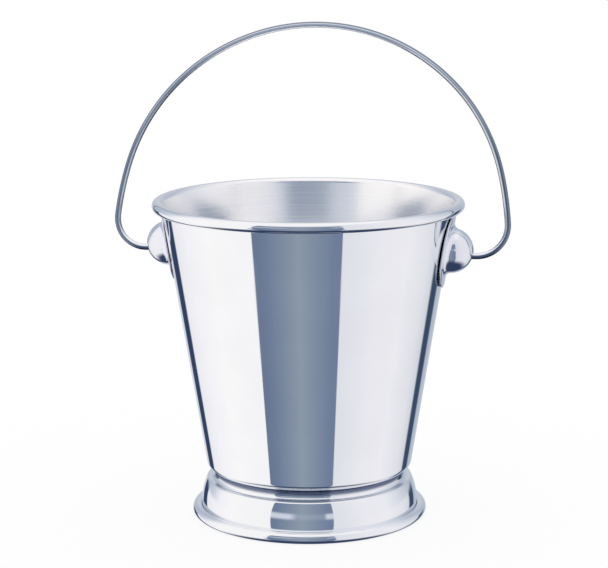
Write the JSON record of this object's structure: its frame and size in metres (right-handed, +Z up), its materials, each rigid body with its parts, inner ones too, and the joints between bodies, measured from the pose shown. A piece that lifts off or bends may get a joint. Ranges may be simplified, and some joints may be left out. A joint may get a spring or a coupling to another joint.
{
  "type": "stainless steel bucket",
  "caption": "Small tapered stainless steel bucket with a rolled rim, a spun pedestal foot, domed side ears and a swinging wire bail handle.",
  "frame": {"origin": "middle of the circle that the foot stands on, at the level of its flat land", "axes": "+Z up along the pail's axis, X through the two ears and along the bail's hinge, the front faces -Y and the bail leans back towards +Y"},
  "size_m": [0.194, 0.15, 0.2377],
  "materials": {
    "polished_shell": "mirror-polished stainless steel outside, satin brushed inside",
    "polished_foot": "mirror-polished stainless steel",
    "polished_ear": "polished pressed stainless steel",
    "polished_wire": "polished drawn stainless steel wire"
  },
  "bodies": {
    "pail": {"pail_shell": "polished_shell", "foot_ring": "polished_foot", "ear_left": "polished_ear", "ear_right": "polished_ear"},
    "handle": {"bail": "polished_wire"}
  },
  "joints": [
    {"name": "bail_swing", "type": "hinge", "parent": "pail", "child": "handle", "pos_m": [0, 0, 0.12936], "axis": [1, 0, 0], "range_deg": [-137, 165]}
  ]
}
